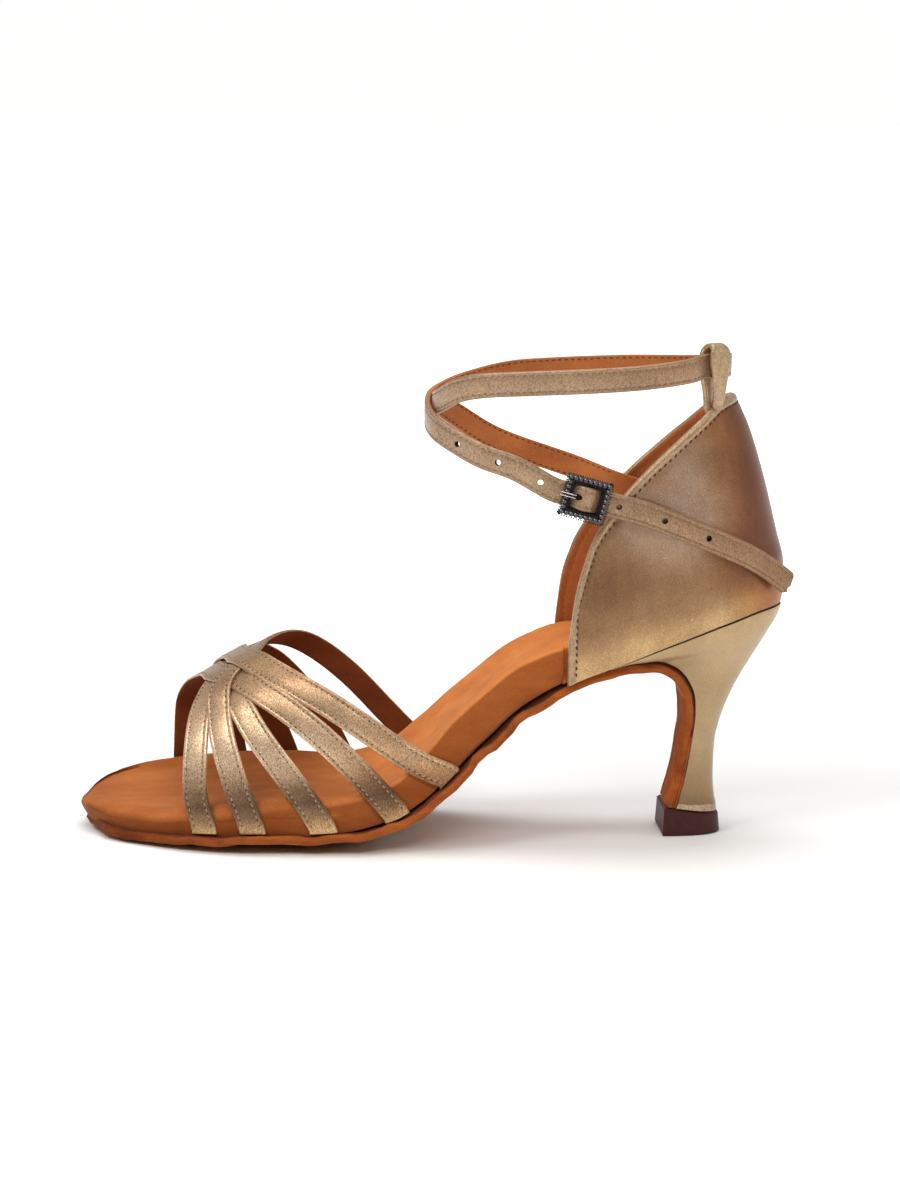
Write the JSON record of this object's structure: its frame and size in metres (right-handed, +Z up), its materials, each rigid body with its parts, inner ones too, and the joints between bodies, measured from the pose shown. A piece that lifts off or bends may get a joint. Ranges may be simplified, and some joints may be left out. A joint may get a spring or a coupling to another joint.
{
  "type": "ballroom dance sandal",
  "caption": "Open-toe ballroom dance sandal with woven vamp straps, closed heel counter, wrap-round ankle strap and buckle, and a flared heel.",
  "frame": {"origin": "middle of the shoe's bounding box, on the floor that it stands on", "axes": "+Z up; +X from the toe to the heel; -Y the outer side, where the buckle is"},
  "size_m": [0.227, 0.0764, 0.1579],
  "materials": {
    "sole_suede": "rust suede with a brushed nap",
    "insole_suede": "tan suede, matt",
    "heel_cover": "champagne satin stretched over the heel",
    "top_piece_rubber": "dark maroon rubber",
    "counter_satin": "champagne-bronze satin with a soft sheen",
    "strap_satin": "pale champagne satin, glittering slightly",
    "strap_leather": "metallic champagne leather",
    "buckle_metal": "dark metal set with small stones",
    "prong_metal": "bright metal wire"
  },
  "bodies": {
    "root": {"outsole": "sole_suede", "insole": "insole_suede", "heel": "heel_cover", "top_piece": "top_piece_rubber", "counter": "counter_satin", "vamp_straps": "strap_satin", "ankle_strap": "strap_leather", "strap_loop": "strap_leather", "buckle_tab": "strap_leather", "buckle_frame": "buckle_metal", "buckle_prong": "prong_metal"}
  },
  "joints": []
}
